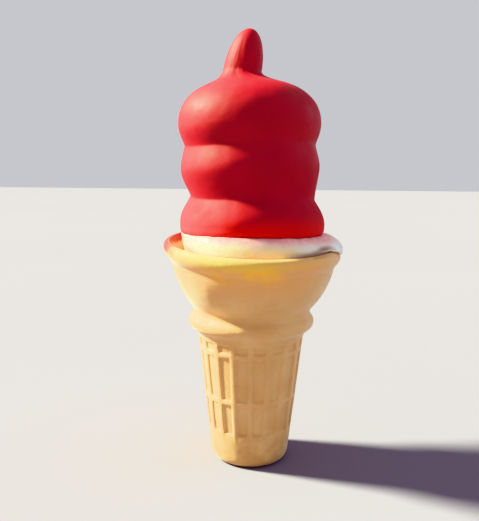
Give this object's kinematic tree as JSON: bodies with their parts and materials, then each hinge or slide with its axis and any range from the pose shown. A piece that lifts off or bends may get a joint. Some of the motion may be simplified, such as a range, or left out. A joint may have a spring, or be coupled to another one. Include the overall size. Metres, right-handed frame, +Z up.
{
  "type": "ice cream cone",
  "caption": "Soft ice cream swirled high on a flat-bottomed wafer cup and dipped in a red candy shell, with a bare white band above the rim.",
  "frame": {"origin": "centre of the cup's flat foot, on the surface it stands on", "axes": "+Z up along the stem, from the foot to the curled tip; -Y is the front, from which the two creases fall to the right; +X is to the right of the front"},
  "size_m": [0.0661, 0.066, 0.1578],
  "materials": {
    "wafer": "dry baked wafer, matte",
    "vanilla": "soft frozen cream, smooth and slightly moist",
    "cherry_dip": "set candy shell, satin gloss"
  },
  "bodies": {
    "root": {"wafer_cup": "wafer", "soft_serve": "vanilla", "cherry_shell": "cherry_dip"}
  },
  "joints": []
}
